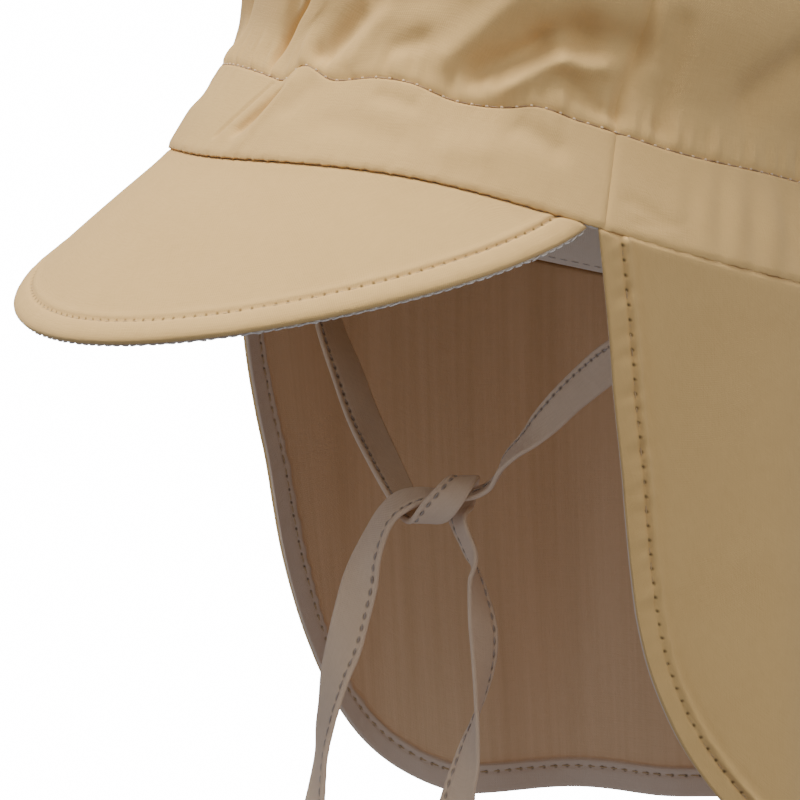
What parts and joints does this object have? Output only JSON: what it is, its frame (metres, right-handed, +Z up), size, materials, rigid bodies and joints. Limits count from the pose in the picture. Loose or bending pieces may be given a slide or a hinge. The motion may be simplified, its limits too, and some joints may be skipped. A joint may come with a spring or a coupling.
{
  "type": "sun hat",
  "caption": "Soft cloth sun hat with a panelled crown, headband, stiff peak, long neck flap and knotted flat chin ties.",
  "frame": {"origin": "centre of the head opening, in the plane of the headband's lower edge", "axes": "+Z up as worn, -Y to the front over the peak, +X to the wearer's left"},
  "size_m": [0.1435, 0.2014, 0.2332],
  "materials": {
    "sand_cotton": "plain weave cotton, matt",
    "pale_cotton": "plain weave cotton lining, matt",
    "tape_cotton": "folded and stitched cotton tape, matt"
  },
  "bodies": {
    "root": {"crown_panel_front_left": "sand_cotton", "crown_panel_front_right": "sand_cotton", "crown_panel_side_left": "sand_cotton", "crown_panel_side_right": "sand_cotton", "crown_panel_back_left": "sand_cotton", "crown_panel_back_right": "sand_cotton", "band_front": "sand_cotton", "band_back": "sand_cotton", "peak_top": "sand_cotton", "neck_flap": "sand_cotton", "sweatband": "pale_cotton", "peak_underside": "pale_cotton", "tie_left": "tape_cotton", "tie_right": "tape_cotton"}
  },
  "joints": []
}
